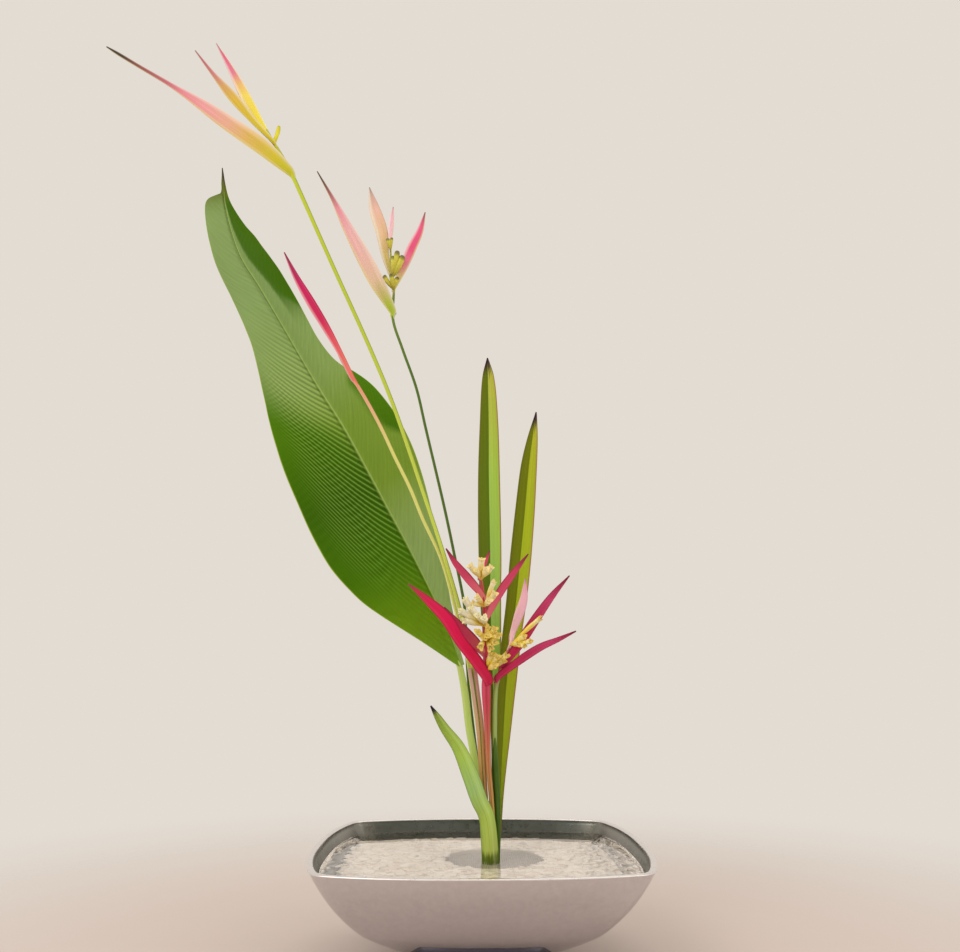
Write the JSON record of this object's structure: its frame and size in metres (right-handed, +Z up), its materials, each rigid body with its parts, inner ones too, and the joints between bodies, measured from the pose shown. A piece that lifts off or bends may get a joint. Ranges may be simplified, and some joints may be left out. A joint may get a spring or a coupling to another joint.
{
  "type": "ikebana arrangement",
  "caption": "Ikebana arrangement of heliconia flowers, one large leaf and blades, on a pin holder in a square polished metal bowl with gravel and water.",
  "frame": {"origin": "middle of the bowl's flat underside", "axes": "+Z up; the arrangement's front faces -Y, and its tall leaf and flowers lean towards -X"},
  "size_m": [0.4595, 0.2584, 0.7894],
  "materials": {
    "polished_metal": "polished",
    "dark_metal": "satin",
    "cream_stone": "matte",
    "water": "polished",
    "leaf_green": "satin",
    "blade_green": "satin",
    "pale_green": "satin",
    "stem_green": "satin",
    "dark_green": "satin",
    "stem_rose": "satin",
    "sheath_cream": "matte",
    "peach_bract": "satin",
    "rose_bract": "satin",
    "pink_bract": "satin",
    "crimson_bract": "satin",
    "yellow_floret": "satin"
  },
  "bodies": {
    "root": {"bowl": "polished_metal", "dark_sheath": "dark_green", "gravel_bed": "cream_stone", "large_leaf": "leaf_green", "middle_heliconia_bract_1": "rose_bract", "middle_heliconia_bract_2": "rose_bract", "middle_heliconia_bract_3": "rose_bract", "middle_heliconia_bract_4": "rose_bract", "middle_heliconia_florets_1": "yellow_floret", "middle_heliconia_florets_2": "yellow_floret", "middle_heliconia_florets_3": "yellow_floret", "middle_heliconia_stem": "dark_green", "pin_holder": "dark_metal", "pink_bud_bract": "pink_bract", "pink_bud_stem": "stem_green", "red_heliconia_bract_1": "crimson_bract", "red_heliconia_bract_2": "crimson_bract", "red_heliconia_bract_3": "crimson_bract", "red_heliconia_bract_4": "crimson_bract", "red_heliconia_bract_5": "crimson_bract", "red_heliconia_florets_1": "yellow_floret", "red_heliconia_florets_2": "yellow_floret", "red_heliconia_florets_3": "yellow_floret", "red_heliconia_florets_4": "yellow_floret", "red_heliconia_florets_5": "yellow_floret", "red_heliconia_stem": "stem_rose", "right_blade": "blade_green", "short_blade": "pale_green", "side_heliconia_bract_1": "crimson_bract", "side_heliconia_bract_2": "rose_bract", "side_heliconia_bract_3": "crimson_bract", "side_heliconia_florets": "yellow_floret", "side_heliconia_stem": "pale_green", "stem_sheath": "sheath_cream", "tall_blade": "blade_green", "tall_heliconia_bract_1": "peach_bract", "tall_heliconia_bract_2": "peach_bract", "tall_heliconia_bract_3": "peach_bract", "tall_heliconia_bud": "yellow_floret", "tall_heliconia_stem": "stem_green", "water": "water"}
  },
  "joints": []
}
